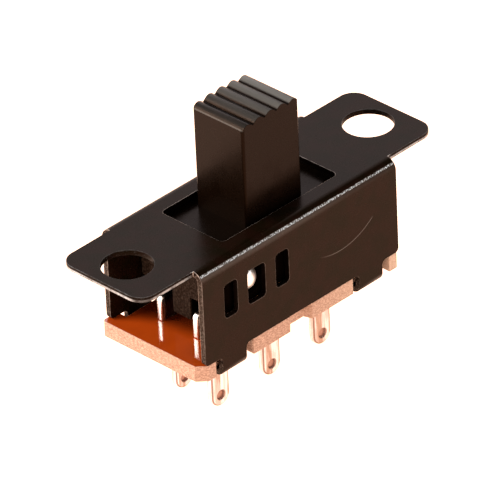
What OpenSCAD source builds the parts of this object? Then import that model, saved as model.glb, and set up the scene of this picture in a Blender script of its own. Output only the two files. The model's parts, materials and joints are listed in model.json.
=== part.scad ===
// Panel-mounting slide switch, double pole, three positions with the centre one off.
// Millimetres. The origin is the centre of the two mounting holes on the face that
// meets the panel, +X runs along the slide and +Z points out of the panel. "Front"
// is the -Y side.

/* [Mounting plate] */
// Distance between the centres of the two mounting holes
hole_pitch = 28.575; // [27.5:0.005:31]
// Diameter of the mounting holes
mounting_hole_d = 4.4; // [3:0.1:4.8]
// Overall length of the mounting plate
plate_length = 34.93; // [34.4:0.01:38]
// Width of the two ears
ear_width = 9.53; // [8:0.01:9.53]
// Radius of the ears' corners
ear_corner_r = 1.5; // [0.5:0.1:2.5]
// Thickness of the steel sheet
sheet_t = 0.5; // [0.4:0.05:0.6]

/* [Channel] */
// Length of the two side walls
channel_length = 23.1; // [22.9:0.1:23.4]
// Width over the outer faces of the side walls
channel_width = 11.43; // [11.43:0.01:12]
// Height from the plate's top face to the walls' lower edges
channel_height = 8.95; // [8.6:0.05:10]
// Outer radius of the bend between plate and wall
bend_r = 0.95; // [0.7:0.05:1.1]
// Radius of the walls' lower corners
wall_corner_r = 0.4; // [0.2:0.1:0.8]

/* [Knob slot] */
// Length of the slot that the knob slides in
slot_length = 13.66; // [13.2:0.02:15]
// Width of the slot
slot_width = 7.06; // [6.2:0.02:7.5]
// Radius of the slot's corners
slot_corner_r = 0.5; // [0.3:0.1:1]

/* [Detent windows] */
// Distance between two detent windows, and so from one position to the next
window_pitch = 3.02; // [2.8:0.01:3.1]
// Distance of the middle window from the switch's centre
window_offset = 5.27; // [5:0.01:5.6]
// Width of the middle window
middle_window_w = 2.05; // [1.6:0.05:2.2]
// Width of the two outer windows
outer_window_w = 1.55; // [1.5:0.05:1.8]
// Height of the windows
window_h = 3.25; // [2.8:0.05:3.6]
// Depth of the windows' centre below the plate's top face
window_depth = 3.85; // [3.6:0.05:4.2]
// Radius of the windows' corners
window_corner_r = 0.4; // [0.2:0.05:0.6]

/* [Crimped tabs] */
// Distance of each tab's centre from the switch's centre
tab_offset = 8.15; // [7.6:0.05:8.6]
// Width of the tabs
tab_w = 2.8; // [2:0.1:3.2]
// How far a tab reaches in under the board, from the wall's outer face
tab_reach = 1.9; // [1.7:0.1:2.3]
// Outer radius of a tab's bend
tab_bend_r = 0.85; // [0.7:0.05:1]
// Radius of the fillets where a tab leaves the wall's lower edge
tab_root_r = 0.45; // [0.2:0.05:0.5]

/* [Terminal board] */
// Length of the board
board_length = 24.1; // [23.6:0.1:25]
// Thickness of the board
board_t = 1.5; // [1.2:0.1:2]
// Cut off the board's two front corners
front_corner_cut = 0.8; // [0.3:0.1:1.5]
// Cut off the board's two rear corners
rear_corner_cut = 0.2; // [0.1:0.1:1.5]
// Length of the notches that the tabs pass through
tab_notch_l = 4.4; // [3.6:0.1:4.6]
// Depth of the notches that the tabs pass through
tab_notch_depth = 1.1; // [1:0.05:1.3]
// Length of the middle notch at the board's edge
middle_notch_l = 2.6; // [1.5:0.1:3]
// Depth of the middle notch
middle_notch_depth = 0.8; // [0.3:0.1:1.2]
// How far the middle notch is set along X from the switch's centre
middle_notch_shift = -0.3; // [-0.6:0.1:0.6]

/* [Terminals] */
// Distance between terminals along a row
terminal_pitch = 6.1; // [6:0.05:6.3]
// Distance between the two rows
row_spacing = 4.15; // [3.95:0.05:4.4]
// Thickness of the terminal sheet
terminal_t = 0.6; // [0.4:0.05:0.7]
// Length of the contact blade above the board
blade_length = 4.6; // [4.4:0.1:4.8]
// Height of the contact blade above the board
blade_height = 2.3; // [1.8:0.1:2.5]
// How far the terminals are set along X from the switch's centre
terminal_shift = -0.6; // [-0.7:0.05:0]
// Width of the solder lug
lug_w = 2.0; // [1.6:0.1:2.2]
// Length of the solder lug below the board
lug_length = 6.1; // [5:0.05:8]
// Diameter of the eye in the solder lug
lug_eye_d = 0.8; // [0.6:0.05:1]

/* [Slider] */
// Length of the knob
knob_length = 6.6; // [5.8:0.1:6.8]
// Width of the knob
knob_width = 5.7; // [4.8:0.1:5.9]
// Height of the knob's ridges above the plate's top face
knob_height = 9.15; // [4:0.05:12]
// Number of grip ridges on the knob
ridge_count = 5; // [3:1:7]
// Depth of the valleys between the ridges
ridge_depth = 0.38; // [0.2:0.02:0.6]
// How much of one ridge the knob's two ends cut off between them
ridge_trim = 0.17; // [0:0.01:0.3]
// How far the crests fall away at the knob's two ends
crest_drop = 0.25; // [0:0.05:0.4]
// Length of the slider's carriage
carriage_length = 16.8; // [16.6:0.1:16.9]
// Thickness of the slider's carriage
carriage_t = 4.9; // [4.8:0.05:5]
// Radius of the carriage's upright corners
carriage_corner_r = 0.9; // [0.4:0.1:1.4]
// Width of the rib between the two rows of blades
rib_w = 2.06; // [1.6:0.02:2.2]
// How far the rib hangs below the carriage
rib_drop = 2.2; // [1:0.1:2.6]

/* [Detent] */
// Diameter of the detent ball
ball_d = 2.38; // [2.2:0.02:2.4]
// Diameter of the spring wire
spring_wire_d = 0.25; // [0.2:0.01:0.32]
// Number of turns of the spring
spring_turns = 8; // [6:1:10]
// Thickness left in the carriage behind the ball's bore
bore_wall = 1.9; // [1.5:0.1:2.5]

/* [Contact clips] */
// Length of a contact clip
clip_length = 5.0; // [4.6:0.1:5.1]
// Thickness of the clip's spring sheet
clip_t = 0.2; // [0.15:0.01:0.25]
// Distance of the contact dimples from the clip's centre
dimple_offset = 1.55; // [1.45:0.05:1.65]

/* [Clearances] */
// Running clearance between the carriage and the channel's walls
side_clearance = 0.2; // [0.15:0.01:0.3]
// Clearance between the carriage and the plate's underside
top_clearance = 0.3; // [0.2:0.01:0.4]
// Clearance round the detent ball in its bore
bore_clearance = 0.06; // [0.03:0.01:0.1]
// Clearance between a ball pressed in and the wall it runs on
ball_clearance = 0.03; // [0.03:0.01:0.05]
// Clearance round the terminals in the board
terminal_clearance = 0.05; // [0.02:0.01:0.1]
// Clearance round a clip in its pocket, and between its dimples and the blade
clip_clearance = 0.1; // [0.06:0.01:0.15]

/* [Hidden] */
$fn = 64;
FRONT = -1;
REAR = 1;
LEFT = -1;
CENTRE = 0;
RIGHT = 1;
cut = 0.5;                                             // overshoot of a cutting tool
inner_width = channel_width - 2 * sheet_t;
wall_y = channel_width / 2;
board_top = -channel_height;
board_bottom = board_top - board_t;
row_y = row_spacing / 2;
carriage_width = inner_width - 2 * side_clearance;
carriage_top = -sheet_t - top_clearance;
carriage_bottom = carriage_top - carriage_t;
detent_x = -window_offset;
detent_z = -window_depth;
ball_y = ball_clearance + ball_d / 2 - inner_width / 2;
bore_d = ball_d + 2 * bore_clearance;
bore_end = carriage_width / 2 - bore_wall;
spring_d = ball_d - 3 * spring_wire_d;                 // mean diameter of the coil
spring_seat = ball_d / 2 + spring_wire_d / 2 + ball_clearance;
spring_front = ball_y + sqrt(pow(spring_seat, 2) - pow(spring_d / 2, 2)) - spring_wire_d / 2;
spring_rear = bore_end - ball_clearance;
blade_top = board_top + blade_height;
clip_inner = terminal_t / 2 + 2 * clip_clearance;      // half the gap inside a clip
clip_outer = clip_inner + clip_t;
pocket_half = clip_outer + clip_clearance;
pocket_top = (carriage_bottom + detent_z) / 2;
clip_top = pocket_top - clip_clearance;
clip_foot = board_top + 2 * sheet_t;
dimple_z = (blade_top + clip_foot) / 2;

module rounded_rect(length, width, r) {
    square([length - 2 * r, width], center = true);
    square([length, width - 2 * r], center = true);
    for (sx = [-1, 1], sy = [-1, 1])
        translate([sx * (length / 2 - r), sy * (width / 2 - r)]) circle(r);
}

// Lays a shape drawn in X and Z upright, and gives it a thickness centred on Y = 0.
module upright(thickness) {
    rotate([90, 0, 0])
        linear_extrude(thickness, center = true) children();
}

// ---- Frame: one folded and pierced sheet ------------------------------------------

// Half of the channel's section: plate, bend and side wall, on the +Y side.
module half_channel_section() {
    translate([-cut, -sheet_t]) square([wall_y - bend_r + cut, sheet_t]);
    translate([wall_y - sheet_t, -channel_height])
        square([sheet_t, channel_height - bend_r]);
    translate([wall_y - bend_r, -bend_r]) intersection() {
        difference() {
            circle(bend_r);
            circle(bend_r - sheet_t);
        }
        square(bend_r);
    }
}

// Section of a tab on the +Y side: down through the board's notch and in under it.
module tab_section() {
    foot = board_bottom - sheet_t;
    translate([wall_y - sheet_t, foot + tab_bend_r])
        square([sheet_t, board_top - foot - tab_bend_r + cut]);
    translate([wall_y - tab_reach, foot]) square([tab_reach - tab_bend_r, sheet_t]);
    translate([wall_y - tab_bend_r, foot + tab_bend_r]) intersection() {
        difference() {
            circle(tab_bend_r);
            circle(tab_bend_r - sheet_t);
        }
        translate([0, -tab_bend_r]) square(tab_bend_r);
    }
}

// Turns a section drawn in Y and Z into a bar along X, centred on X = 0.
module bar(length) {
    rotate([90, 0, 90]) linear_extrude(length, center = true) children();
}

// Fillets at both sides of a tab's root, in the wall's plane.
module tab_root() {
    for (side = [0, 1]) mirror([side, 0, 0])
        translate([tab_w / 2, wall_y - sheet_t / 2, board_top]) upright(sheet_t) difference() {
            translate([-cut, -tab_root_r]) square(tab_root_r + cut);
            translate([tab_root_r, -tab_root_r]) circle(tab_root_r);
            translate([-cut, 0]) square(tab_root_r + 2 * cut);
        }
}

// Rounds a lower corner of both walls, at the +X end.
module wall_corner_cut() {
    translate([channel_length / 2 - wall_corner_r, 0, board_top + wall_corner_r])
        upright(channel_width + 2 * cut) difference() {
            translate([0, -wall_corner_r - cut]) square(wall_corner_r + cut);
            circle(wall_corner_r);
        }
}

// A detent window in the front wall.
module window(x, width) {
    translate([x, sheet_t / 2 - wall_y, detent_z])
        upright(sheet_t + 2 * cut) rounded_rect(width, window_h, window_corner_r);
}

module frame() {
    color([0.16, 0.14, 0.13]) difference() {
        union() {
            translate([0, 0, -sheet_t]) linear_extrude(sheet_t)
                rounded_rect(plate_length, ear_width, ear_corner_r);
            for (side = [0, 1]) mirror([0, side, 0]) {
                bar(channel_length) half_channel_section();
                for (end = [-1, 1]) translate([end * tab_offset, 0, 0]) {
                    bar(tab_w) tab_section();
                    tab_root();
                }
            }
        }
        for (end = [0, 1]) mirror([end, 0, 0]) wall_corner_cut();
        for (end = [-1, 1])
            translate([end * hole_pitch / 2, 0, -sheet_t - cut])
                cylinder(d = mounting_hole_d, h = sheet_t + 2 * cut);
        translate([0, 0, -sheet_t - cut]) linear_extrude(sheet_t + 2 * cut)
            rounded_rect(slot_length, slot_width, slot_corner_r);
        window(detent_x, middle_window_w);
        for (end = [-1, 1]) window(detent_x + end * window_pitch, outer_window_w);
    }
}

// ---- Terminal board ---------------------------------------------------------------

// Cuts one corner of the board along a slant.
module corner_cut(size) {
    translate([board_length / 2, wall_y]) rotate(45)
        square(size * sqrt(2), center = true);
}

// Notch at the middle of one long edge, with slightly slanted sides.
module middle_notch() {
    side_slant = middle_notch_depth / 3;
    floor_half = middle_notch_l / 2 - side_slant;
    translate([middle_notch_shift, wall_y]) polygon([
        [-middle_notch_l / 2, cut], [-middle_notch_l / 2, 0],
        [-floor_half, -middle_notch_depth], [floor_half, -middle_notch_depth],
        [middle_notch_l / 2, 0], [middle_notch_l / 2, cut]]);
}

module board_outline() {
    difference() {
        square([board_length, channel_width], center = true);
        for (end = [0, 1]) mirror([end, 0]) {
            corner_cut(rear_corner_cut);
            mirror([0, 1]) corner_cut(front_corner_cut);
        }
        for (side = [0, 1]) mirror([0, side]) {
            middle_notch();
            for (end = [-1, 1])
                translate([end * tab_offset - tab_notch_l / 2, wall_y - tab_notch_depth])
                    square([tab_notch_l, tab_notch_depth + cut]);
        }
        for (column = [LEFT, CENTRE, RIGHT], row = [FRONT, REAR])
            translate([terminal_shift + column * terminal_pitch, row * row_y])
                square([lug_w, terminal_t] + 2 * terminal_clearance * [1, 1], center = true);
    }
}

module terminal_board() {
    color([0.72, 0.36, 0.12]) translate([0, 0, board_bottom])
        linear_extrude(board_t) board_outline();
}

// ---- Terminals: blade above the board, solder lug below it ------------------------

// The terminal's outline in X and Z, with X = 0 on the lug's centre line.
module terminal_outline() {
    blade_corner = terminal_t / 2;
    lug_tip = board_bottom - lug_length;
    eye_z = lug_tip + lug_w / 2;
    difference() {
        union() {
            polygon([
                [-blade_length / 2, board_top], [blade_length / 2, board_top],
                [blade_length / 2, blade_top - blade_corner],
                [blade_length / 2 - blade_corner, blade_top],
                [-blade_length / 2 + blade_corner, blade_top],
                [-blade_length / 2, blade_top - blade_corner]]);
            translate([-lug_w / 2, eye_z]) square([lug_w, board_top - eye_z]);
            translate([0, eye_z]) circle(d = lug_w);
        }
        translate([0, eye_z]) circle(d = lug_eye_d);
    }
}

module terminal(column, row) {
    color([0.86, 0.83, 0.8])
        translate([terminal_shift + column * terminal_pitch, row * row_y, 0])
            upright(terminal_t) terminal_outline();
}

// ---- Slider: knob, carriage and rib in one moulding --------------------------------

// The knob's side view: a block whose top is a row of arched ridges with sharp valleys
// between them, falling away a little towards both ends.
module knob_profile() {
    steps = 16 * ridge_count;
    pitch = knob_length / (ridge_count - ridge_trim);
    ridge_top = [for (i = [0:steps])
        let (x = knob_length * (i / steps - 0.5),
             arch = abs(sin(180 * (x / pitch + ridge_count / 2))),
             crest = knob_height - crest_drop * pow(2 * x / knob_length, 2))
        [x, crest - ridge_depth * (1 - arch)]];
    polygon(concat([[-knob_length / 2, carriage_bottom / 2]], ridge_top,
                   [[knob_length / 2, carriage_bottom / 2]]));
}

module knob() {
    knob_corner_r = slot_corner_r / 2;
    intersection() {
        translate([0, 0, carriage_bottom / 2])
            linear_extrude(knob_height - carriage_bottom)
                rounded_rect(knob_length, knob_width, knob_corner_r);
        upright(knob_width) knob_profile();
    }
}

module carriage() {
    translate([0, 0, carriage_bottom]) linear_extrude(carriage_t)
        rounded_rect(carriage_length, carriage_width, carriage_corner_r);
    translate([-carriage_length / 2, -rib_w / 2, carriage_bottom - rib_drop])
        cube([carriage_length, rib_w, rib_drop + cut]);
}

module slider() {
    color([0.13, 0.12, 0.12]) difference() {
        union() {
            knob();
            carriage();
        }
        translate([detent_x, bore_end, detent_z]) rotate([90, 0, 0])
            cylinder(d = bore_d, h = bore_end + carriage_width / 2 + cut);
        for (row = [FRONT, REAR])
            translate([-clip_length / 2 - clip_clearance,
                       row * row_y - pocket_half, carriage_bottom - cut])
                cube([clip_length + 2 * clip_clearance, 2 * pocket_half,
                      pocket_top - carriage_bottom + cut]);
    }
}

// ---- Contact clips: spring channels that straddle a row of blades -------------------

// One side of a clip, split into two fingers, each with a dimple towards the blade.
module clip_side() {
    finger_gap = clip_length / 8;
    finger_root = carriage_bottom;
    dimple_rise = clip_inner - terminal_t / 2 - clip_clearance / 4;
    difference() {
        translate([-clip_length / 2, clip_inner, clip_foot])
            cube([clip_length, clip_t, clip_top - clip_foot]);
        translate([-finger_gap / 2, clip_inner - cut, clip_foot - cut])
            cube([finger_gap, clip_t + 2 * cut, finger_root - clip_foot + cut]);
    }
    for (end = [-1, 1])
        translate([end * dimple_offset, clip_inner + clip_t / 2, dimple_z])
            rotate([90, 0, 0])
                cylinder(d1 = 5 * clip_t, d2 = 2 * clip_t, h = dimple_rise + clip_t / 2);
}

module contact_clip(row) {
    color([0.8, 0.62, 0.32]) translate([0, row * row_y, 0]) {
        translate([-clip_length / 2, -clip_outer, clip_top - clip_t])
            cube([clip_length, 2 * clip_outer, clip_t]);
        for (side = [0, 1]) mirror([0, side, 0]) clip_side();
    }
}

// ---- Detent: a ball pressed out of the carriage's blind bore by a coil spring -------

module detent_ball() {
    color([0.85, 0.85, 0.86]) translate([detent_x, ball_y, detent_z])
        sphere(d = ball_d);
}

// Points of the spring's centre line: closed end turns and evenly spaced ones between.
function spring_rise(turn) =
    let (closed = spring_wire_d * 1.05,
         coiled = spring_rear - spring_front - spring_wire_d,
         free = (coiled - 2 * closed) / (spring_turns - 2))
    turn < 1 ? turn * closed
    : turn > spring_turns - 1
        ? closed + (spring_turns - 2) * free + (turn - spring_turns + 1) * closed
    : closed + (turn - 1) * free;

function spring_point(turn) =
    [spring_d / 2 * cos(360 * turn),
     spring_front + spring_wire_d / 2 + spring_rise(turn),
     spring_d / 2 * sin(360 * turn)];

// A ring of the wire's section, square to the coil's axis and radius.
function wire_ring(turn, sides) =
    let (centre = spring_point(turn), out = [cos(360 * turn), 0, sin(360 * turn)])
    [for (k = [0:sides - 1])
        centre + spring_wire_d / 2 * (cos(360 * k / sides) * out + sin(360 * k / sides) * [0, 1, 0])];

module detent_spring() {
    sides = 8;
    rings = 16 * spring_turns;
    points = [for (i = [0:rings]) each wire_ring(i * spring_turns / rings, sides)];
    walls = [for (i = [0:rings - 1], k = [0:sides - 1])
        let (a = i * sides + k, b = i * sides + (k + 1) % sides)
        [a, b, b + sides, a + sides]];
    first_cap = [for (k = [sides - 1:-1:0]) k];
    last_cap = [for (k = [0:sides - 1]) rings * sides + k];
    color([0.75, 0.75, 0.77]) translate([detent_x, 0, detent_z])
        polyhedron(points, concat(walls, [first_cap, last_cap]), convexity = 10);
}

frame();
terminal_board();
terminal(LEFT, FRONT);  // terminal_front_left
terminal(CENTRE, FRONT);  // terminal_front_centre
terminal(RIGHT, FRONT);  // terminal_front_right
terminal(LEFT, REAR);  // terminal_rear_left
terminal(CENTRE, REAR);  // terminal_rear_centre
terminal(RIGHT, REAR);  // terminal_rear_right
slider();
contact_clip(FRONT);  // contact_clip_front
contact_clip(REAR);  // contact_clip_rear
detent_ball();  // detent_ball_front
detent_spring();
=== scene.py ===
# %% [markdown]
# # A panel-mounting slide switch
#
# This lesson dresses a small double-pole slide switch: a folded steel channel in
# black lacquer, a ridged knob, a phenolic terminal board and six tinned terminals.
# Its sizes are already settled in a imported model, which is loaded as a fixed frame,
# so nothing here moves or resizes a part. What is left is the finish: rounded
# edges, lacquer, laminate, tin, and the soft light that shows them.

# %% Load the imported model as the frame
import json
import math

import bmesh
import bpy
from mathutils import Matrix, Vector
from mathutils.bvhtree import BVHTree


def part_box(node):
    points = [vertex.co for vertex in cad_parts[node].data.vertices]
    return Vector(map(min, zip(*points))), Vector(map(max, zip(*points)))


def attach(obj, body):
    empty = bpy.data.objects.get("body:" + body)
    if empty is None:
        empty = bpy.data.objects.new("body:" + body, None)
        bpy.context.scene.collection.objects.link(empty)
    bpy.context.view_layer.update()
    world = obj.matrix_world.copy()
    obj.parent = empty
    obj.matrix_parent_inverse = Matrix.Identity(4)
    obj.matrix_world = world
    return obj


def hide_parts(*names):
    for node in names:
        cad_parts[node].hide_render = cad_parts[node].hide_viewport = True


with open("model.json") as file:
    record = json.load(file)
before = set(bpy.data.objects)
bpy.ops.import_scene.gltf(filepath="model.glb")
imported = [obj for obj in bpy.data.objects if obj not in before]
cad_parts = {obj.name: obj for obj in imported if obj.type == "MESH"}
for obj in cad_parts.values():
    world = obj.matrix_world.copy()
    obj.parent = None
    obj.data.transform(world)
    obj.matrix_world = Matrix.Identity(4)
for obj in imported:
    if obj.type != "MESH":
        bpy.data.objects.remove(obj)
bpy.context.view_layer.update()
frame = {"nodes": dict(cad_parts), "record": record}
MM = 0.001

# %% [markdown]
# ## Node maths as plain expressions
#
# Materials and Geometry Nodes are both graphs of small sums. Wiring each sum by
# hand hides what it means, so one small class wraps a socket and overloads the
# operators: `1 - mask * 0.5` adds its own Math nodes. Every other node comes from
# one method, `node`, which sets a node's options first and then feeds its sockets
# with values or wires. The same class serves both kinds of graph, because both
# know the Math node.

# %% A wire in a node graph


class Wire:
    """A socket of a node graph, with arithmetic."""

    def __init__(self, tree, socket=None):
        self.tree, self.socket = tree, socket

    def node(self, kind, feeds=None, out=0, **settings):
        made = self.tree.nodes.new(kind)
        for name, value in settings.items():
            setattr(made, name, value)
        for key, value in (feeds or {}).items():
            self.feed(made.inputs[key], value)
        return Wire(self.tree, made.outputs[out] if len(made.outputs) else None)

    def feed(self, socket, value):
        if isinstance(value, list):
            for each in value:
                self.feed(socket, each)
        elif isinstance(value, Wire):
            self.tree.links.new(value.socket, socket)
        elif socket.type == "RGBA":
            socket.default_value = (*value[:3], 1.0)
        else:
            socket.default_value = value

    def math(self, operation, *others):
        return self.node("ShaderNodeMath", dict(enumerate((self, *others))),
                         operation=operation)

    def __add__(self, other):
        return self.math("ADD", other)

    __radd__ = __add__

    def __sub__(self, other):
        return self.math("SUBTRACT", other)

    def __rsub__(self, other):
        return self * -1.0 + other

    def __mul__(self, other):
        return self.math("MULTIPLY", other)

    __rmul__ = __mul__

    def __truediv__(self, other):
        return self.math("DIVIDE", other)

    def __pow__(self, other):
        return self.math("POWER", other)

    def __abs__(self):
        return self.math("ABSOLUTE")

    def at_least(self, other):
        return self.math("MAXIMUM", other)

    def at_most(self, other):
        return self.math("MINIMUM", other)

    def ramp(self, low, high, start=0.0, end=1.0):
        """Runs smoothly from start to end while this value runs from low to high."""
        return self.node("ShaderNodeMapRange", {0: self, 1: low, 2: high, 3: start, 4: end},
                         interpolation_type="SMOOTHSTEP")

    def fall(self, low, high):
        """Runs smoothly from 1 to 0 while this value runs from low to high."""
        return self.ramp(low, high, 1.0, 0.0)

    def mix(self, first, second):
        """Mixes two colours by this value."""
        return self.node("ShaderNodeMix", {0: self, 6: first, 7: second}, out=2,
                         data_type="RGBA")

    def parts(self):
        """The three numbers of a vector."""
        split = self.node("ShaderNodeSeparateXYZ", {0: self}).socket.node
        return [Wire(self.tree, socket) for socket in split.outputs]


print("Wire is ready")

# %% [markdown]
# ## From packed triangles to a mesh that can be worked
#
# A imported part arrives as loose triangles, three separate corners each. That is
# fine for collision, but nothing can be rounded on it. So a copy is merged at its
# corners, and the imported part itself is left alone. Later the triangles that lie
# in one plane are dissolved into one face.

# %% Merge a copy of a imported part


def packed_copy(node):
    """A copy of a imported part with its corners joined, open for mesh work."""
    bm = bmesh.new()
    bm.from_mesh(frame["nodes"][node].data)
    bmesh.ops.remove_doubles(bm, verts=bm.verts, dist=0.001 * MM)
    return bm


channel = packed_copy("frame")
print("channel:", len(channel.faces), "triangles,", len(channel.verts), "corners")

# %% [markdown]
# ## Which faces did the punch cut?
#
# On real sheet metal the rolled faces and the punched edges look different: the
# edges are raw or thinly covered. A ray sent inwards from a face tells them
# apart. Through a rolled face the metal is only as deep as the sheet is thick;
# from a punched edge it is deeper. The answer is stored on each face as the
# number `cut`, which a material reads with an Attribute node.

# %% Mark the cut faces


def mark_cuts(bm, thickness):
    """Stores 1 on the faces that were cut through a sheet, 0 on the sheet's own."""
    cut = bm.faces.layers.float.new("cut")
    bm.normal_update()
    tree = BVHTree.FromBMesh(bm)
    for face in bm.faces:
        start = face.calc_center_median() - face.normal * 0.01 * MM
        depth = tree.ray_cast(start, -face.normal)[3]
        face[cut] = float(depth is None or depth > 1.08 * thickness)
    return sum(face[cut] > 0.5 for face in bm.faces)


sheet_t = 0.5 * MM
print("cut triangles on the channel:", mark_cuts(channel, sheet_t))

# %% [markdown]
# ## Rounded edges catch the light
#
# No real edge is perfectly sharp, and the thin bright line along an edge is what
# makes an object look made. A Bevel modifier could do it; the bevel of bmesh is
# used because it also returns the strips it makes, so they can be marked as
# `rim` for the finish. Only edges with a real fold get one, so tessellated curves
# stay as they are.

# %% Round the edges


def soften(bm, width, segments=2, angle=30.0):
    """Dissolves flat seams, rounds the sharp edges and marks the new strips."""
    bmesh.ops.dissolve_limit(bm, angle_limit=math.radians(0.5), verts=bm.verts,
                             edges=bm.edges)
    rim = bm.faces.layers.float.get("rim") or bm.faces.layers.float.new("rim")
    sharp = [edge for edge in bm.edges if len(edge.link_faces) == 2
             and edge.calc_face_angle() > math.radians(angle)]
    made = bmesh.ops.bevel(bm, geom=sharp, offset=width, offset_type="OFFSET",
                           segments=segments, profile=0.5, affect="EDGES",
                           clamp_overlap=False)
    for face in made["faces"]:
        face[rim] = 1.0
    return len(sharp)


print("edges rounded on the channel:", soften(channel, 0.05 * MM))

# %% [markdown]
# ## From mesh to finished piece
#
# Every piece ends the same way: smooth shading, a true crease where faces meet at
# a real angle, and normals weighted by area so that big flats stay flat next to
# their rounded edges. Then it is told which body carries it and which imported
# parts it stands for.

# %% Dress a mesh as a piece


def dress(name, bm, material, body, slot, *nodes):
    """Turns a mesh into a finished piece of the switch."""
    crease = math.radians(38)
    for edge in bm.edges:
        edge.smooth = edge.calc_face_angle(0.0) < crease
    for face in bm.faces:
        face.smooth = True
    mesh = bpy.data.meshes.new(name)
    bm.to_mesh(mesh)
    bm.free()
    mesh.materials.append(material)
    piece = bpy.data.objects.new(name, mesh)
    bpy.context.scene.collection.objects.link(piece)
    shading = piece.modifiers.new("even shading", "WEIGHTED_NORMAL")
    shading.keep_sharp = True
    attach(piece, body)
    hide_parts(*nodes)
    print(f"{name}: {len(mesh.polygons)} faces, stands for {len(nodes)} packed parts")


# %% [markdown]
# ## The start and the end of every material
#
# A material begins with a place on the piece and ends in one Principled shader.
# Object coordinates are used throughout, since every piece keeps its origin at
# the frame's own origin: a pattern then has its real scale and stays put when a
# part slides. A number that is the same all over is set on the shader itself,
# and only what varies is wired. Deep inside the switch hardly any light arrives,
# but a glossy shader would still mirror the room there. So a material may name
# the faces where a dead black one is mixed over it as painted shade.

# %% Start a material, find a place on it, finish it


def new_material(name):
    """A material with an empty graph, and a bare wire to start from."""
    material = bpy.data.materials.new(name)
    material.use_nodes = True
    material.node_tree.nodes.clear()
    return material, Wire(material.node_tree)


def spot_in_mm(wire, stretch=(1.0, 1.0, 1.0)):
    """Object coordinates in millimetres."""
    here = wire.node("ShaderNodeTexCoord", out="Object")
    return wire.node("ShaderNodeMapping",
                     {"Vector": here, "Scale": tuple(s / MM for s in stretch)})


def noise(spot, scale, detail=3.0, roughness=0.5):
    """Smooth noise from 0 to 1, with about scale lumps to a millimetre."""
    return spot.node("ShaderNodeTexNoise", {"Vector": spot, "Scale": scale,
                                            "Detail": detail, "Roughness": roughness})


def mark(wire, name):
    """A number that the mesh carries on each face."""
    return wire.node("ShaderNodeAttribute", out="Fac", attribute_name=name)


def bump(height, depth, strength=1.0):
    """A normal from a height between 0 and 1, with its depth in metres."""
    return height.node("ShaderNodeBump", {"Height": height, "Distance": depth,
                                          "Strength": strength}, out="Normal")


def finish_material(material, wire, feeds, painted_shade=None):
    """Ends the graph in a Principled shader, painted dead black as shade where the mask is
    1.
    """
    shader = wire.node("ShaderNodeBsdfPrincipled", feeds)
    if painted_shade:
        black = wire.node("ShaderNodeBsdfDiffuse", {"Color": (0.0012, 0.0006, 0.0004)})
        shader = wire.node("ShaderNodeMixShader", {0: painted_shade, 1: shader, 2: black})
    wire.node("ShaderNodeOutputMaterial", {"Surface": shader})
    print("material:", material.name, "with", len(material.node_tree.nodes), "nodes")
    return material


# %% [markdown]
# ## A scratch is part of the finish
#
# A long curved hairline crosses the front wall, where something once swung past
# it. It is thinner than any mesh edge worth having, so the material draws it. The
# distance from a circle gives a line, and ramps keep only one stretch of it, on
# the front wall alone.

# %% The hairline on the front wall
wall_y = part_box("frame")[1].y / MM


def hairline(spot):
    """1 on a thin arc on the front wall, 0 elsewhere."""
    centre_x, centre_z, radius = 4.54, 0.90, 6.39
    x, y, z = spot.parts()
    distance = ((x - centre_x) ** 2.0 + (z - centre_z) ** 2.0) ** 0.5
    line = abs(distance - radius).fall(0.02, 0.065)
    stretch = x.ramp(1.9, 4.3) * x.fall(8.35, 8.65) * z.fall(-3.6, -3.2)
    front = y.fall(0.01 - wall_y, 0.08 - wall_y)
    return line * stretch * front


print("front wall at y =", round(-wall_y, 3), "mm")

# %% [markdown]
# ## Where lacquer wears away
#
# The channel is punched and folded from sheet, then covered in thin black
# lacquer, and the bare places tell how it was made. Lacquer draws back from sharp
# edges, so every rim is a fine tan line. The punch left a burr along the ears'
# lower edge, heavy near the end's two corners and rubbed flat at one of them. The
# walls' end faces were sheared last. Along the fold the tool has rubbed a narrow
# line, with a soft band below it. Each place is a mask of its own, made from
# position and from the marks on the mesh, so each can wear by its own amount.
# Heights are millimetres from the plate's top face, and the sheet is 0.5 thick.

# %% Places on the channel
channel_points = [v.co for v in frame["nodes"]["frame"].data.vertices]
wall_end = max(p.x for p in channel_points if p.z < -2 * MM) / MM
holes = frame["record"]["mounts"][0]["dims"]


def places(wire, spot):
    """Masks for the places on the channel that wear by themselves."""
    rim, cut = mark(wire, "rim"), mark(wire, "cut")
    x, y, z = spot.parts()
    below_line, above_line = z.ramp(-0.46, -0.40), z.fall(-0.30, -0.24)
    front = y.fall(0.3 - wall_y, 0.5 - wall_y) * (1 - cut)
    band = z.ramp(-1.0, -0.45) * z.ramp(-0.30, -0.24, 0.13, 0.0) * front
    end = cut * z.fall(-1.0, -0.6) * abs(x).ramp(wall_end - 0.1, wall_end)
    ear = abs(x).ramp(wall_end, wall_end + 0.5)
    from_hole = ((abs(x) - holes["spacing_x_mm"] / 2) ** 2.0 + y ** 2.0) ** 0.5
    hole = from_hole.fall(holes["hole_r_mm"] + 0.10, holes["hole_r_mm"] + 0.16)
    flat_corner = x.fall(-16.5, -15.9) * y.fall(-4.0, -3.4)
    heavy = y.ramp(1.2, 2.4).at_least(y.ramp(-3.4, -3.0) * y.fall(-2.2, -1.7))
    burr = ear * cut.at_least(rim) * z.fall(-0.30, -0.20) * (1 - hole)
    return {"rim": rim, "cut": cut, "fold": below_line * above_line * front,
            "band": band * x.ramp(-2.0, 9.0, 1.0, 0.4),
            "end": end, "ear": ear, "hole": hole,
            "heavy": heavy * abs(x).ramp(17.0, 17.2),
            "burr": burr * (1 - flat_corner * 0.75) * z.ramp(-0.49, -0.46)}


print("walls end at x =", round(wall_end, 2), "mm")
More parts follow.
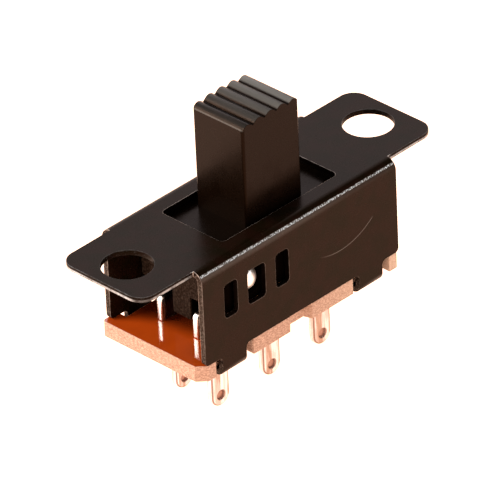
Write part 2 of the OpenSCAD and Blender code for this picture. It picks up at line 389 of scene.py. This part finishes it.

# %% [markdown]
# ## How much of it, and where shade is painted
#
# Not every rim is worn alike. Those of the plate's top face are worn most, those
# of the ears and holes less, and those at the walls' foot hardly at all. The
# walls' upright ends are rubbed on their inner half, the front wall's more than
# the rear's. The cut faces of the windows and the slot lie in the dark, so a dead
# black is painted over them as shade, and partly over those of the holes and the
# ears' upper edge.

# %% Wear of the rims, and the painted shade on dark cut faces


def rim_wear(spot, at):
    """How far the rims have lost their lacquer."""
    x, y, z = spot.parts()
    wear = (1 - at["ear"] * 0.6) * z.ramp(-0.45, -0.25, 0.30, 1.0) * (1 - at["hole"] * 0.4)
    wear = wear * z.ramp(-7.4, -6.8, 0.2, 1.0)
    inner = abs(y).ramp(wall_y - 0.4, wall_y - 0.1, 1.3, 0.2) * y.ramp(-1.0, 1.0, 1.0, 0.35)
    return wear + abs(x).ramp(wall_end - 0.12, wall_end - 0.04) * inner * (1 - at["ear"])


def painted_shade_faces(spot, at):
    """Cut faces that hardly any light reaches, where dead black is painted as shade."""
    x, y, z = spot.parts()
    inside = at["cut"] * abs(x).fall(wall_end - 0.9, wall_end - 0.7) * z.ramp(-5.6, -5.4)
    upper = at["ear"] * z.ramp(-0.30, -0.20) * 0.5
    return inside.at_least((at["hole"] * 0.6).at_least(upper) * at["cut"])


print("upright ends are rubbed up to", round(wall_y - 0.1, 2), "mm from the middle plane")

# %% [markdown]
# ## Black lacquer on folded steel
#
# The film is deep black with a brown cast, a little uneven in tone, and has a
# faint orange peel. Noise breaks each worn place into grains, and the highest of
# them wins: `at_least` keeps a strong mark from being dulled by a weak one. One
# flat black would lose all of that.

# %% Lacquer


def lacquer():
    material, wire = new_material("black_lacquer")
    spot = spot_in_mm(wire)
    x = spot.parts()[0]
    at = places(wire, spot)
    # painted shade: a dead black mixed over the cut faces that lie in the dark
    painted_shade_cut = painted_shade_faces(spot, at)
    grit, dapple = noise(spot, 8.0, 2.0, 0.6), noise(spot, 1.8, 4.0, 0.7)
    bare = at["rim"] * dapple.ramp(0.30, 0.62, 0.15, 0.50) * rim_wear(spot, at)
    for worn in (at["burr"] * (dapple.ramp(0.30, 0.60, 0.2, 0.7) + at["heavy"] * 0.06),
                 at["band"],
                 at["fold"] * grit.ramp(0.42, 0.60, 0.0, 0.9)
                 * x.ramp(-2.0, 9.0, 1.0, 0.85),
                 at["end"] * grit.ramp(0.36, 0.64, 0.0, 0.08),
                 at["cut"] * grit.ramp(0.52, 0.70, 0.0, 0.2) * (1 - painted_shade_cut)):
        bare = bare.at_least(worn)
    film = noise(spot, 0.6, 4.0).ramp(0.35, 0.65).mix((0.0044, 0.0030, 0.0009),
                                                      (0.0080, 0.0032, 0.0017))
    steel = at["fold"].mix((0.46, 0.43, 0.41), (0.43, 0.455, 0.47))
    burr_steel = at["heavy"].mix((0.40, 0.455, 0.50), (0.47, 0.56, 0.63))
    colour = bare.mix(film, at["ear"].mix(steel, burr_steel))
    return finish_material(material, wire, {
        "Base Color": hairline(spot).mix(colour, (0.072, 0.068, 0.066)),
        "Metallic": bare * 0.8,
        "Roughness": dapple.ramp(0.3, 0.7, 0.22, 0.28) + bare * 0.08,
        "Normal": bump(grit * 0.2 + dapple * 0.8, 0.003 * MM, 0.5),
        "Specular IOR Level": 0.065, "Specular Tint": (1.0, 0.61, 0.34)}, painted_shade_cut * 0.9)


dress("channel_shell", channel, lacquer(), "housing", "frame_steel", "frame")

# %% [markdown]
# ## The terminal board
#
# The board is phenolic laminate: paper soaked in brown resin and pressed between
# hot polished plates. Its faces came out glossy and deep orange, while the punch
# tore the edges, which show pale dry fibre in grains. The edges are painted
# lighter towards the right and palest past the walls' right end, which is painted
# light. A `cut` mark tells the two apart again, so one material can be both. On a
# flat board no ray is needed: every face that stands upright was cut. Past its
# left end the board lies under the housing, and that shade is painted into its
# face as a darker colour.

# %% Laminate


def laminate():
    material, wire = new_material("phenolic_laminate")
    spot = spot_in_mm(wire)
    layers = spot_in_mm(wire, (1.0, 1.0, 3.0))
    cut = mark(wire, "cut").at_least(mark(wire, "rim") * 0.7)
    clouds, fibre = noise(spot, 0.45, 3.0), noise(layers, 4.0, 5.0, 0.75)
    specks = noise(layers, 6.0, 2.0, 0.6).ramp(0.55, 0.66)
    x, y, z = spot.parts()
    face = clouds.mix((0.36, 0.049, 0.004), (0.53, 0.077, 0.006))
    # painted shade: the face turns dark past its left end, where the housing shades it
    painted_shade_under_housing = (x + y * 0.15 - board_low.x / MM).ramp(2.2, 4.4)
    face = (painted_shade_under_housing * 0.82).mix(face, (0.035, 0.004, 0.001))
    torn = fibre.ramp(0.38, 0.62).mix((0.20, 0.100, 0.060), (0.50, 0.340, 0.255))
    # painted light: the torn edges grow paler towards the right, and palest past the walls'
    # right end
    torn = x.ramp(-2.0, 14.0, 0.0, 0.7).mix(torn, (0.48, 0.40, 0.31))
    torn = x.ramp(wall_end, wall_end + 0.8).mix(torn, (0.76, 0.70, 0.66))
    torn = (specks * 0.7).mix(torn, (0.19, 0.075, 0.04))
    return finish_material(material, wire, {
        "Base Color": cut.mix(face, torn),
        "Roughness": cut * 0.6 + noise(spot, 3.0).ramp(0.3, 0.7, 0.06, 0.12),
        "Normal": bump(cut * fibre + (1 - cut) * clouds * 0.15, 0.03 * MM, 0.7),
        "IOR": 1.55, "Specular IOR Level": 1.0})


board = packed_copy("terminal_board")
board_low, board_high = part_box("terminal_board")
board.normal_update()
punched = board.faces.layers.float.new("cut")
for face in board.faces:
    face[punched] = float(abs(face.normal.z) < 0.5)
soften(board, 0.05 * MM)
dress("laminate_board", board, laminate(), "housing", "board_laminate", "terminal_board")

# %% [markdown]
# ## A rule for what repeats
#
# Geometry Nodes suit anything that repeats, because the rule is kept: change the
# pitch, and every copy moves. Each rule here is a tree with a named input for
# every size. `grow` ends the tree, runs it once on an object and keeps the result
# as a plain mesh, since an instance would be lost when the model is exported.

# %% Start a rule and grow a mesh from it


def new_rule(name, sizes):
    """A Geometry Nodes tree with named sizes. Returns it and its input wires."""
    tree = bpy.data.node_groups.new(name, "GeometryNodeTree")
    tree.interface.new_socket("Geometry", in_out="INPUT", socket_type="NodeSocketGeometry")
    tree.interface.new_socket("Geometry", in_out="OUTPUT", socket_type="NodeSocketGeometry")
    for label, value in sizes.items():
        kind = "NodeSocketInt" if isinstance(value, int) else "NodeSocketFloat"
        tree.interface.new_socket(label, in_out="INPUT", socket_type=kind)
    inputs = tree.nodes.new("NodeGroupInput").outputs
    return tree, {socket.name: Wire(tree, socket) for socket in inputs if socket.name}


def grow(tree, sizes, result, material, drawing=None):
    """Ends a rule, runs it on a drawing and returns the result as an open mesh."""
    real = result.node("GeometryNodeRealizeInstances", {"Geometry": result})
    dressed = real.node("GeometryNodeSetMaterial", {"Geometry": real, "Material": material})
    tree.links.new(dressed.socket, tree.nodes.new("NodeGroupOutput").inputs[0])
    seed = bpy.data.objects.new(tree.name, drawing or bpy.data.meshes.new(tree.name))
    bpy.context.scene.collection.objects.link(seed)
    modifier = seed.modifiers.new("rule", "NODES")
    modifier.node_group = tree
    for item in tree.interface.items_tree:
        if item.in_out == "INPUT" and item.name in sizes:
            modifier[item.identifier] = sizes[item.name]
    graph = bpy.context.evaluated_depsgraph_get()
    mesh = bpy.data.meshes.new_from_object(seed.evaluated_get(graph), depsgraph=graph)
    bpy.data.objects.remove(seed)
    bm = bmesh.new()
    bm.from_mesh(mesh)
    print(tree.name, "grew", len(bm.faces), "faces from", len(tree.nodes), "nodes")
    return bm


# %% [markdown]
# ## Tinned terminals
#
# Each terminal is one punching of brass strip, tinned: a wide blade above the
# board, which the contact clip straddles, and a narrow lug below it with a round
# end and an eye for the wire. The outline is drawn once, in the plane of the
# strip, from a few sizes.

# %% Draw one terminal
blade_low, blade_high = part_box("terminal_front_centre")
terminal_x = (blade_low.x + blade_high.x) / 2
lug_w, eye_d = 2.0 * MM, 0.8 * MM


def arc(x, z, radius, start, end, steps):
    """Points on an arc, from start to end in degrees."""
    turns = [math.radians(start + (end - start) * i / steps) for i in range(steps + 1)]
    return [(x + radius * math.cos(t), z + radius * math.sin(t)) for t in turns]


def terminal_drawing():
    """The terminal's outline and eye as edges, with x = 0 on the lug's middle."""
    half = (blade_high.x - blade_low.x) / 2
    corner = (blade_high.y - blade_low.y) / 2
    eye_z = blade_low.z + lug_w / 2
    outline = [(half, board_high.z), (half, blade_high.z - corner),
               (half - corner, blade_high.z), (-half + corner, blade_high.z),
               (-half, blade_high.z - corner), (-half, board_high.z),
               (-lug_w / 2, board_high.z)]
    outline += arc(0, eye_z, lug_w / 2, 180, 360, 24) + [(lug_w / 2, board_high.z)]
    eye = arc(0, eye_z, eye_d / 2, 0, 345, 23)
    first, count = len(outline), len(eye)
    edges = [(i, (i + 1) % first) for i in range(first)]
    edges += [(first + i, first + (i + 1) % count) for i in range(count)]
    drawing = bpy.data.meshes.new("terminal_drawing")
    drawing.from_pydata([(x, z, 0) for x, z in outline + eye], edges, [])
    return drawing


print("terminal length in mm:", round((blade_high.z - blade_low.z) / MM, 2))

# %% [markdown]
# ## Six from one
#
# The rule fills the drawing, gives it the strip's thickness, closes the back with
# a flipped copy of the front, stands it up and sets it on a grid of two rows of
# three. A thin brown skin closes each eye, as a short cylinder in the middle of
# the strip. Pitch and row spacing are measured between the packed terminals.

# %% The terminals' rule
corner_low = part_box("terminal_front_left")[0]
across_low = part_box("terminal_rear_left")[0]
terminal_sizes = {"Thickness": blade_high.y - blade_low.y,
                  "Pitch": blade_low.x - corner_low.x,
                  "Row spacing": across_low.y - corner_low.y,
                  "Columns": 3, "Rows": 2, "Set along": terminal_x,
                  "Eye": eye_d, "Eye height": blade_low.z + lug_w / 2}


def terminals(material):
    tree, size = new_rule("terminal_rows", terminal_sizes)
    outline = size["Geometry"].node("GeometryNodeMeshToCurve", {"Mesh": size["Geometry"]})
    front = outline.node("GeometryNodeFillCurve", {"Curve": outline}, mode="NGONS")
    back = front.node("GeometryNodeFlipFaces", {"Mesh": front})
    raised = front.node("GeometryNodeExtrudeMesh", {
        "Mesh": front, "Offset Scale": size["Thickness"], "Individual": False})
    strip = front.node("GeometryNodeJoinGeometry", {"Geometry": [raised, back]})
    strip = strip.node("GeometryNodeMergeByDistance", {"Geometry": strip,
                                                       "Distance": 0.001 * MM})
    skin = strip.node("GeometryNodeMeshCylinder", {
        "Vertices": 24, "Radius": size["Eye"] / 2 + 0.02 * MM, "Depth": 0.25 * MM})
    skin = skin.node("GeometryNodeTransform", {
        "Geometry": skin, "Translation": skin.node("ShaderNodeCombineXYZ", {
            "Y": size["Eye height"], "Z": size["Thickness"] / 2})})
    strip = strip.node("GeometryNodeJoinGeometry", {"Geometry": [strip, skin]})
    middle = strip.node("ShaderNodeCombineXYZ", {"Y": size["Thickness"] / 2})
    upright = strip.node("GeometryNodeTransform", {
        "Geometry": strip, "Rotation": (math.pi / 2, 0, 0), "Translation": middle})
    grid = strip.node("GeometryNodeMeshGrid", {
        "Size X": size["Pitch"] * (size["Columns"] - 1),
        "Size Y": size["Row spacing"] * (size["Rows"] - 1),
        "Vertices X": size["Columns"], "Vertices Y": size["Rows"]})
    along = strip.node("ShaderNodeCombineXYZ", {"X": size["Set along"]})
    places = grid.node("GeometryNodeTransform", {"Geometry": grid, "Translation": along})
    rows = places.node("GeometryNodeInstanceOnPoints", {"Points": places,
                                                        "Instance": upright})
    return grow(tree, terminal_sizes, rows, material, terminal_drawing())


print("terminal sizes in mm:", {k: v if isinstance(v, int) else round(v / MM, 3)
                                for k, v in terminal_sizes.items()})

# %% [markdown]
# ## Tin
#
# Hot tin is bright but not a mirror: it keeps the fine upright lines of the
# rolled strip, some bright and some dull and rosy where copper shows through.
# Across each lug, bands of painted shade stand for a cupped face, and the lugs
# grow darker towards the right as painted shade. The coined outline of each lug
# is darker, and the eye is brown. Above the board the blades' edges are bright,
# while their broad faces are painted dark brown as shade. The streaks are noise
# stretched along the lug.
# To find each eye, the position along the row is wrapped at the pitch.

# %% Tin and the six terminals


def tin():
    material, wire = new_material("bright_tin")
    spot, streaks = spot_in_mm(wire), spot_in_mm(wire, (1.0, 1.0, 0.12))
    lines = noise(streaks, 3.2, 2.0, 0.5)
    x, y, z = spot.parts()
    pitch = terminal_sizes["Pitch"] / MM
    along = ((x - (terminal_x / MM - pitch / 2)) / pitch).math("FRACT") * pitch - pitch / 2
    eye_z = (blade_low.z + lug_w / 2) / MM
    from_eye = (along ** 2.0 + (z - eye_z) ** 2.0) ** 0.5
    eye_fill = from_eye.fall(eye_d / 2 / MM - 0.02, eye_d / 2 / MM + 0.03)
    lug = z.fall(board_low.z / MM - 0.1, board_low.z / MM)
    # painted shade: tan bands across each lug stand for the shading of a cupped face
    painted_shade_bands = along.ramp(-0.85, -0.60) * along.fall(-0.15, 0.10)
    painted_shade_bands = painted_shade_bands.at_least(along.ramp(0.70, 0.84)) * 0.6
    # dull streaks, plus painted shade: the bands above and a darkening towards the
    # right-hand lugs
    dull_streaks_and_painted_shade = lug * (painted_shade_bands + lines.ramp(0.44, 0.60, 0.0, 0.35) + x.ramp(-9.0, 7.0, 0.06, 0.3))
    colour = lug.mix((1.0, 0.99, 0.98), dull_streaks_and_painted_shade.mix((0.86, 0.865, 0.93), (0.36, 0.27, 0.22)))
    colour = (mark(wire, "rim") * lug * 0.85).mix(colour, (0.18, 0.11, 0.08))
    colour = (eye_fill * lug).mix(colour, (0.33, 0.17, 0.12))
    # painted shade: the blades' broad faces are painted dark brown, their edges left bright
    painted_shade_on_blades = (1 - lug) * abs(along).ramp(1.85, 1.95, 0.85, 0.0)
    colour = painted_shade_on_blades.mix(colour, (0.07, 0.04, 0.03))
    return finish_material(material, wire, {
        "Base Color": colour, "Metallic": 1 - eye_fill * lug * 0.8,
        "Roughness": lines.ramp(0.3, 0.7, 0.20, 0.34),
        "Normal": bump(lines, 0.007 * MM, 0.7)})


tinned = tin()
strip = terminals(tinned)
soften(strip, 0.11 * MM, segments=3)
dress("tinned_terminals", strip, tinned, "housing", "terminal_tin",
      *[f"terminal_{row}_{place}" for row in ("front", "rear")
        for place in ("left", "centre", "right")])

# %% [markdown]
# ## The knob's ridges
#
# The knob is moulded with five round ridges for the finger, with narrow valleys
# between them. That is a rule: the top's height is a chain of arches, the
# absolute value of a sine, and it falls away a little towards both ends. A block
# with a fine grid of points takes that height at its top, and its upright corners
# are rounded by drawing the points near each corner onto a circle.

# %% The knob's rule
slider_low, slider_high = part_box("slider")
slider_mesh = frame["nodes"]["slider"].data
flange_z = max(v.co.z for v in slider_mesh.vertices if v.co.x < slider_low.x + 1 * MM)
knob_points = [v.co for v in slider_mesh.vertices if v.co.z > slider_high.z / 2]
knob_sizes = {"Length": 2 * max(p.x for p in knob_points),
              "Width": 2 * max(p.y for p in knob_points),
              "Top": slider_high.z, "Foot": flange_z - 0.5 * MM,
              "Ridges": 5, "Ridge depth": 0.38 * MM, "Trim": 0.17,
              "End drop": 0.25 * MM, "Corner": 0.25 * MM}
points_per_ridge, points_across = 16, 72


def knob(material):
    tree, size = new_rule("ridged_knob", knob_sizes)
    steps = size["Ridges"] * points_per_ridge + 1
    block = steps.node("GeometryNodeMeshCube", {
        "Size": steps.node("ShaderNodeCombineXYZ", {
            "X": size["Length"], "Y": size["Width"], "Z": size["Top"] - size["Foot"]}),
        "Vertices X": steps, "Vertices Y": points_across, "Vertices Z": 2})
    x, y, z = steps.node("GeometryNodeInputPosition").parts()
    inner_x = size["Length"] / 2 - size["Corner"]
    inner_y = size["Width"] / 2 - size["Corner"]
    past_x = (abs(x) - inner_x).at_least(0.0)
    past_y = (abs(y) - inner_y).at_least(0.0)
    farther = past_x.at_least(past_y)
    radius = (past_x ** 2.0 + past_y ** 2.0) ** 0.5
    pull = 1 - farther / radius.at_least(0.0001 * MM)
    in_corner = past_x.at_most(past_y).math("GREATER_THAN", 0.0)
    new_x = x - x.math("SIGN") * past_x * pull * in_corner
    new_y = y - y.math("SIGN") * past_y * pull * in_corner
    ridges_along = x / size["Length"] * (size["Ridges"] - size["Trim"])
    arch = abs(((ridges_along + size["Ridges"] / 2) * math.pi).math("SINE"))
    out = x / size["Length"] * 2
    crest = size["Top"] - size["End drop"] * out ** 2.0 - size["Ridge depth"] * (1 - arch)
    on_top = z.math("GREATER_THAN", 0.0)
    height = on_top * crest + (1 - on_top) * size["Foot"]
    place = block.node("ShaderNodeCombineXYZ", {"X": new_x, "Y": new_y, "Z": height})
    moved = block.node("GeometryNodeSetPosition", {"Geometry": block, "Position": place})
    return grow(tree, knob_sizes, moved, material)


print("knob sizes in mm:", {k: v if isinstance(v, int) else round(v / MM, 3)
                            for k, v in knob_sizes.items()})

# %% [markdown]
# ## Black moulded plastic
#
# The slider is one moulding. Its plastic is black with a brown cast and half
# gloss: the mould was polished on the knob's sides but left a faint grain.
# One flank of each ridge is painted grey as painted light, more so towards the
# right, and the knob's two top edges carry a painted highlight. The carriage's
# ends, where the moulding was broken from its runner, are rough, and below the
# plate the rest is too dark to see, so a dead black is painted over it as shade.
# Each ridge is found again by counting them along the knob, as the rule did.

# %% Plastic


def plastic():
    material, wire = new_material("black_plastic")
    spot = spot_in_mm(wire)
    grain, clouds = noise(spot, 9.0, 3.0, 0.6), noise(spot, 0.5, 4.0, 0.6)
    x, y, z = spot.parts()
    half_x, half_y = knob_sizes["Length"] / 2 / MM, knob_sizes["Width"] / 2 / MM
    below = slider_high.z / MM - (x / half_x) ** 2.0 * 0.25 - z
    along = (x / (2 * half_x) * (knob_sizes["Ridges"] - knob_sizes["Trim"])
             + knob_sizes["Ridges"] / 2).math("FRACT")
    on_top = below.fall(0.36, 0.42) * abs(y).fall(half_y - 0.05, half_y) * abs(x).fall(
        half_x - 0.05, half_x)
    flank = along.ramp(0.05, 0.18) * along.fall(0.38, 0.78)
    # painted highlight on the knob's two top edges, and painted light on one flank of each
    # ridge, stronger towards the right
    painted_highlight_edges = abs(x).ramp(half_x - 0.12, half_x - 0.05) * below.fall(0.28, 0.33)
    painted_light_on_ridges = flank * on_top * ((x * 0.17 + 0.5) ** 1.3 * 0.8 + 0.1)
    painted_light_on_ridges = painted_light_on_ridges.at_least(painted_highlight_edges * 0.42)
    end = abs(x).ramp(-slider_low.x / MM - 0.3, -slider_low.x / MM - 0.1)
    torn = end * noise(spot, 5.0, 3.0, 0.7).ramp(0.45, 0.62)
    colour = clouds.mix((0.0022, 0.0012, 0.0006), (0.0044, 0.0022, 0.0012))
    colour = painted_light_on_ridges.mix(colour, (0.155, 0.168, 0.170))
    colour = torn.mix(colour, (0.026, 0.020, 0.016))
    return finish_material(material, wire, {
        "Base Color": colour,
        "Roughness": clouds.ramp(0.3, 0.7, 0.20, 0.32) + end * 0.3,
        "Normal": bump(grain * 0.3 + clouds * 0.7, 0.004 * MM, 0.4),
        "Specular IOR Level": 0.064, "Specular Tint": (1.0, 0.58, 0.36)},
        # painted shade: dead black over the slider below the plate, except its rough ends
        z.ramp(-1.2, -0.9, 0.92, 0.0) * (1 - end))


moulded = plastic()

# %% [markdown]
# ## One moulding again
#
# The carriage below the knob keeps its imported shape, with its edges rounded. It
# is cut off just under its top face and closed there, then united with the new
# knob by an exact boolean, so that the slider is one closed skin as in life.

# %% Unite knob and carriage


def unite(first, second):
    """One closed mesh from two that overlap."""
    both = []
    for number, bm in enumerate((first, second)):
        mesh = bpy.data.meshes.new(f"half_{number}")
        bm.to_mesh(mesh)
        bm.free()
        both.append(bpy.data.objects.new(mesh.name, mesh))
        bpy.context.scene.collection.objects.link(both[-1])
    union = both[0].modifiers.new("unite", "BOOLEAN")
    union.operation, union.solver, union.object = "UNION", "EXACT", both[1]
    graph = bpy.context.evaluated_depsgraph_get()
    result = bpy.data.meshes.new_from_object(both[0].evaluated_get(graph), depsgraph=graph)
    for half in both:
        bpy.data.objects.remove(half)
    bm = bmesh.new()
    bm.from_mesh(result)
    bmesh.ops.remove_doubles(bm, verts=bm.verts, dist=0.003 * MM)
    bmesh.ops.dissolve_degenerate(bm, dist=0.003 * MM, edges=bm.edges)
    return bm


carriage = packed_copy("slider")
whole = carriage.verts[:] + carriage.edges[:] + carriage.faces[:]
bmesh.ops.bisect_plane(carriage, geom=whole, plane_co=(0, 0, flange_z - 0.01 * MM),
                       plane_no=(0, 0, 1), clear_outer=True)
bmesh.ops.holes_fill(carriage, edges=[e for e in carriage.edges if e.is_boundary])
soften(carriage, 0.08 * MM)
block = knob(moulded)
bmesh.ops.recalc_face_normals(block, faces=block.faces)
soften(block, 0.055 * MM, angle=60.0)
slider = unite(carriage, block)
dress("ridged_slider", slider, moulded, "carriage", "slider_plastic", "slider")

# %% [markdown]
# ## The detent ball
#
# One hardened steel ball sits in the carriage's bore and clicks into the windows.
# A bearing ball is as near to a perfect sphere as anything in a workshop, so the
# mesh is an icosphere, which has no poles to pinch the reflections. It has run in
# a steel channel for years, so its shine is soft rather than a mirror.

# %% Ball steel and the ball


def ball_steel():
    material, wire = new_material("ball_steel")
    spot = spot_in_mm(wire)
    haze = noise(spot, 2.0, 4.0, 0.6)
    return finish_material(material, wire, {
        "Base Color": haze.mix((1.0, 0.99, 0.97), (0.94, 0.92, 0.90)), "Metallic": 1.0,
        "Roughness": haze.ramp(0.3, 0.7, 0.42, 0.50),
        "Normal": bump(noise(spot, 12.0, 2.0), 0.001 * MM, 0.3)})


ball_low, ball_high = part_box("detent_ball_front")
ball = bmesh.new()
bmesh.ops.create_icosphere(ball, subdivisions=5, radius=(ball_high.z - ball_low.z) / 2,
                           matrix=Matrix.Translation((ball_low + ball_high) / 2))
dress("detent_ball", ball, ball_steel(), "front_ball", "ball_steel", "detent_ball_front")

# %% [markdown]
# ## The detent spring
#
# A coil spring pushes the ball out. Both its ends are closed, so the wire rises
# slowly for one turn, quickly in the middle, and slowly again: the sum of three
# clamped ramps. The rule bends a straight line of points by that sum and a circle
# round it, and sweeps the wire's section along.

# %% The spring's rule
spring_low, spring_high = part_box("detent_spring")
spring_sizes = {"Turns": 8.0, "Wire": 0.25 * MM, "Outer": spring_high.x - spring_low.x,
                "Free length": spring_high.y - spring_low.y}


def coil(material):
    tree, size = new_rule("coil_spring", spring_sizes)
    points_per_turn = 24
    count = size["Turns"] * points_per_turn + 1
    line = count.node("GeometryNodeCurvePrimitiveLine", out="Curve")
    line = line.node("GeometryNodeResampleCurve", {"Curve": line, "Count": count},
                     out="Curve")
    turn = line.node("GeometryNodeSplineParameter", out="Factor") * size["Turns"]
    closed, open_turns = size["Wire"] * 1.05, size["Turns"] - 2
    spread = size["Free length"] - size["Wire"] - closed * 2
    rise = turn.at_most(1.0) * closed
    rise = rise + (turn - 1).at_least(0.0).at_most(open_turns) / open_turns * spread
    rise = rise + (turn - size["Turns"] + 1).at_least(0.0) * closed
    radius = (size["Outer"] - size["Wire"]) / 2
    bent = line.node("ShaderNodeCombineXYZ", {
        "X": radius * (turn * 2 * math.pi).math("COSINE"),
        "Y": rise + (size["Wire"] - size["Free length"]) / 2,
        "Z": radius * (turn * 2 * math.pi).math("SINE")})
    helix = line.node("GeometryNodeSetPosition", {"Geometry": line, "Position": bent})
    section = line.node("GeometryNodeCurvePrimitiveCircle", {
        "Resolution": 12, "Radius": size["Wire"] / 2}, out="Curve")
    wire = helix.node("GeometryNodeCurveToMesh", {"Curve": helix, "Profile Curve": section,
                                                  "Fill Caps": True})
    place = (spring_low + spring_high) / 2
    moved = wire.node("GeometryNodeTransform", {"Geometry": wire,
                                                "Translation": tuple(place)})
    return grow(tree, spring_sizes, moved, material)


def spring_wire():
    material, wire = new_material("spring_wire")
    spot = spot_in_mm(wire)
    drawn = noise(spot, 4.0, 4.0, 0.7)
    return finish_material(material, wire, {
        "Base Color": drawn.mix((0.46, 0.43, 0.40), (0.60, 0.57, 0.53)), "Metallic": 1.0,
        "Roughness": drawn.ramp(0.3, 0.7, 0.22, 0.38),
        "Normal": bump(drawn, 0.004 * MM, 0.5)})


spring_finish = spring_wire()
spring = coil(spring_finish)
bmesh.ops.recalc_face_normals(spring, faces=spring.faces)
dress("coil_spring", spring, spring_finish, "carriage", "spring_steel", "detent_spring")

# %% [markdown]
# ## Contact clips
#
# Two clips of phosphor bronze ride in the carriage and bridge neighbouring
# blades. They are folded from thin strip with their fingers split, and bronze
# left bare turns a patchy brown-gold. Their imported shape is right, so a copy with
# rounded edges is enough.

# %% Bronze and the clips


def bronze():
    material, wire = new_material("clip_bronze")
    spot = spot_in_mm(wire)
    tarnish = noise(spot, 0.9, 4.0, 0.6).ramp(0.35, 0.65)
    rolled = noise(spot_in_mm(wire, (0.6, 6.0, 6.0)), 1.0, 3.0)
    return finish_material(material, wire, {
        "Base Color": tarnish.mix((0.72, 0.46, 0.22), (0.48, 0.27, 0.12)), "Metallic": 1.0,
        "Roughness": rolled.ramp(0.3, 0.7, 0.22, 0.36) + tarnish * 0.1,
        "Normal": bump(rolled, 0.006 * MM, 0.6)})


springy = bronze()
for side in ("front", "rear"):
    clip = packed_copy(f"contact_clip_{side}")
    soften(clip, 0.03 * MM)
    dress(f"{side}_clip", clip, springy, "carriage", "clip_bronze", f"contact_clip_{side}")

# %% [markdown]
# ## A floor that glows
#
# Small products are often shot on a light table: a pale diffuser lit from below,
# which gives white ground and no hard shadow. The light here is warm, which the
# bare metal shows plainly, and stronger and whiter towards the back. The floor
# stands where the lugs end.

# %% Floor


def table_top():
    material, wire = new_material("pale_table")
    spot = spot_in_mm(wire)
    x, y, z = spot.parts()
    behind = (y - x).ramp(10.0, 60.0)
    return finish_material(material, wire, {
        "Base Color": noise(spot, 0.01).mix((0.52, 0.48, 0.45), (0.54, 0.50, 0.47)),
        "Roughness": 0.9, "Specular IOR Level": 0.1,
        "Emission Color": behind.mix((1.0, 0.61, 0.44), (1.36, 0.91, 0.70)),
        "Emission Strength": 2.0})


def floor(half, z):
    mesh = bpy.data.meshes.new("floor")
    corners = [(-half, -half, z), (half, -half, z), (half, half, z), (-half, half, z)]
    mesh.from_pydata(corners, [], [(0, 1, 2, 3)])
    mesh.materials.append(table_top())
    obj = bpy.data.objects.new("floor", mesh)
    bpy.context.scene.collection.objects.link(obj)
    print("floor at z =", round(z / MM, 2), "mm")


floor(half=4.0, z=blade_low.z)

# %% [markdown]
# ## Soft studio light
#
# Glossy black shows its surroundings more than its own colour, so each softbox is
# placed where a certain face mirrors it. Brightness is given rather than power:
# it stays the same to the eye when a box is made larger or moved away. The power
# follows from it and the box's area.

# %% Softboxes


def softbox(name, towards, size, brightness, colour, distance=0.6):
    """A rectangular light that faces the switch from a direction."""
    light = bpy.data.lights.new(name, "AREA")
    light.shape = "RECTANGLE"
    light.size, light.size_y = size
    light.energy = brightness * math.pi * size[0] * size[1]
    light.color = colour
    lamp = bpy.data.objects.new(name, light)
    lamp.location = Vector(towards).normalized() * distance
    lamp.rotation_euler = Vector(towards).to_track_quat("Z", "Y").to_euler()
    lamp.visible_camera = False
    bpy.context.scene.collection.objects.link(lamp)
    print(f"{name}: {light.energy:.3f} W")


WARM = (1.0, 0.70, 0.50)
softbox("back_right", (0.59, 0.60, 0.54), (0.5, 0.5), 1.65, (1.0, 0.92, 0.96))
softbox("left_back", (-0.62, 0.60, 0.50), (0.34, 0.34), 14.0, (1.0, 0.86, 0.76))
softbox("strip", (0.59, -0.66, 0.46), (0.5, 0.012), 48.0, (0.96, 1.0, 1.0))
softbox("front", (-0.15, -0.95, 0.25), (0.5, 0.3), 2.2, WARM)
softbox("left", (-0.95, -0.10, 0.28), (0.4, 0.3), 4.5, WARM)

# %% [markdown]
# ## The room
#
# The room is dim above, so that the switch's top stays dark, and as bright as the
# table near the horizon, where a low view would otherwise see a dark wall.

# %% World
world = bpy.data.worlds.new("room")
world.use_nodes = True
world.node_tree.nodes.clear()
sky = Wire(world.node_tree)
up = sky.node("ShaderNodeTexCoord", out="Generated").parts()[2]
glow = abs(up).fall(0.04, 0.14)
background = sky.node("ShaderNodeBackground", {
    "Color": glow.mix((0.21, 0.19, 0.19), (1.9, 1.3, 1.05)), "Strength": 1.0})
sky.node("ShaderNodeOutputWorld", {"Surface": background})
bpy.context.scene.world = world
bpy.context.scene.view_settings.view_transform = "Standard"
print("world:", len(world.node_tree.nodes), "nodes")

# %% [markdown]
# ## The camera
#
# The view is from the left end, a third of the way up, through a very long lens:
# far back, so that parallel edges stay nearly parallel. Its place is given by the
# direction it looks from, a roll, a distance, and how far the switch's origin
# lies off the picture's middle.

# %% Camera


def look(azimuth, elevation, roll, distance, lens, aside, below):
    turn, rise, tilt = (math.radians(a) for a in (azimuth, elevation, roll))
    back = Vector((math.sin(turn) * math.cos(rise), -math.cos(turn) * math.cos(rise),
                   math.sin(rise)))
    level = (-back).cross(Vector((0, 0, 1))).normalized()
    over = level.cross(-back)
    right = level * math.cos(tilt) + over * math.sin(tilt)
    up = over * math.cos(tilt) - level * math.sin(tilt)
    data = bpy.data.cameras.new("camera")
    data.sensor_width, data.lens = 36.0, lens
    camera = bpy.data.objects.new("camera", data)
    place = back * distance - right * aside - up * below
    camera.matrix_world = Matrix.Translation(place) @ Matrix(
        (right, up, back)).transposed().to_4x4()
    bpy.context.scene.collection.objects.link(camera)
    bpy.context.scene.camera = camera
    print("camera at", [round(v, 4) for v in camera.location])


look(azimuth=-44.6854, elevation=32.7107, roll=-2.6369, distance=615.675 * MM,
     lens=539.057, aside=-0.0528 * MM, below=4.6945 * MM)
